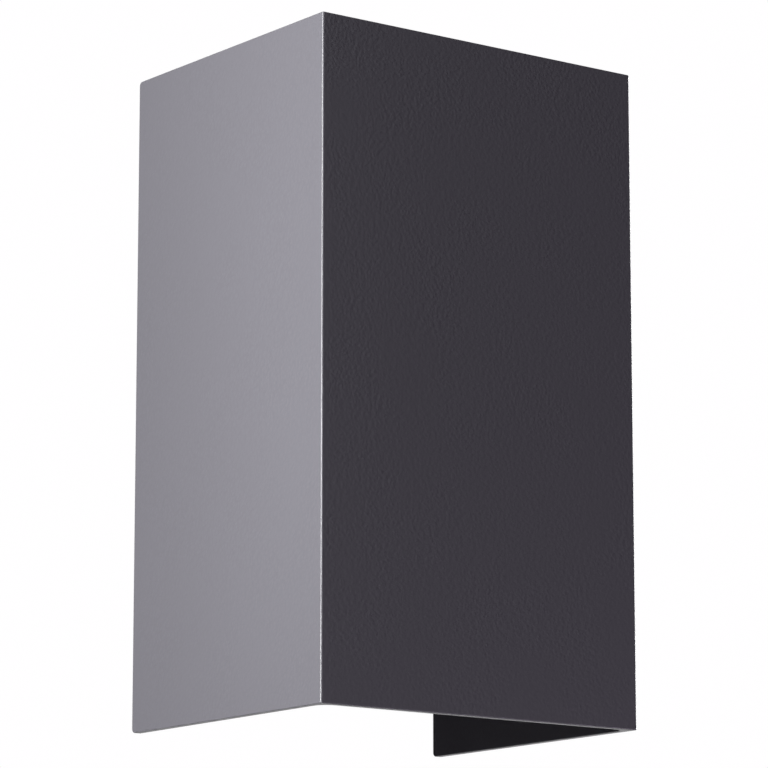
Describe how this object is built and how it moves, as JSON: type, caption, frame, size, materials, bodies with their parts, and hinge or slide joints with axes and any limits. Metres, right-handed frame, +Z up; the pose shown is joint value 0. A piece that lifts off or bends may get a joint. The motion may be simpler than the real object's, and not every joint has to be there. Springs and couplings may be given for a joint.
{
  "type": "outdoor wall light",
  "caption": "Up-and-down outdoor wall light: a dark rectangular die-cast cover, open at the top, bottom and back, over a sealed LED housing that slides onto a wall bracket.",
  "frame": {"origin": "on the wall plane, midway between the two side wall-screw slots, on the cable entry's axis", "axes": "+Y into the wall, +Z up, +X to the right seen from the front; the front faces -Y"},
  "size_m": [0.115, 0.097, 0.2],
  "materials": {
    "cover_coat": "fine-grained powder coat, anthracite",
    "housing_coat": "satin black powder coat",
    "bracket_zinc": "bright zinc-plated sheet",
    "screw_steel": "stainless",
    "black_rubber": "matt",
    "foam_rubber": "closed-cell foam",
    "silicone": "pale grey silicone",
    "frosted_glass": "satin-etched",
    "reflector_white": "smooth moulded white",
    "board_white": "white solder mask",
    "led_phosphor": "yellow phosphor in a white frame",
    "driver_case": "moulded white",
    "terminal_plastic": "natural nylon",
    "brass": "plain",
    "tinned_copper": "tinned",
    "lead_brown": "insulation",
    "lead_blue": "insulation",
    "lead_earth": "insulation, green with a yellow stripe",
    "lead_white": "insulation"
  },
  "bodies": {
    "wall_mount": {"wall_bracket": "bracket_zinc", "cable_grommet": "black_rubber"},
    "light_head": {"cover": "cover_coat", "housing": "housing_coat", "rear_frame": "housing_coat", "rear_frame_screws": "screw_steel", "cover_screws": "screw_steel", "cover_screw_washers": "screw_steel", "rear_seal": "foam_rubber", "led_driver": "driver_case", "driver_screws": "screw_steel", "terminal_block": "terminal_plastic", "terminal_clamps": "brass", "terminal_screws": "brass", "terminal_fixing_screws": "screw_steel", "earth_tag": "tinned_copper", "earth_screw": "screw_steel", "live_lead": "lead_brown", "neutral_lead": "lead_blue", "earth_lead": "lead_earth", "upper_led_board": "board_white", "upper_led_chips": "led_phosphor", "upper_board_screws": "screw_steel", "upper_reflector": "reflector_white", "upper_lens_seal": "silicone", "upper_glass": "frosted_glass", "upper_bezel": "housing_coat", "upper_bezel_screws": "screw_steel", "upper_lock_screw": "screw_steel", "upper_led_leads": "lead_white", "lower_led_board": "board_white", "lower_led_chips": "led_phosphor", "lower_board_screws": "screw_steel", "lower_reflector": "reflector_white", "lower_lens_seal": "silicone", "lower_glass": "frosted_glass", "lower_bezel": "housing_coat", "lower_bezel_screws": "screw_steel", "lower_lock_screw": "screw_steel", "lower_led_leads": "lead_white"}
  },
  "joints": [
    {"name": "head_slide", "type": "slide", "parent": "wall_mount", "child": "light_head", "axis": [0, -1, 0], "range_m": [0, 0.06]}
  ]
}
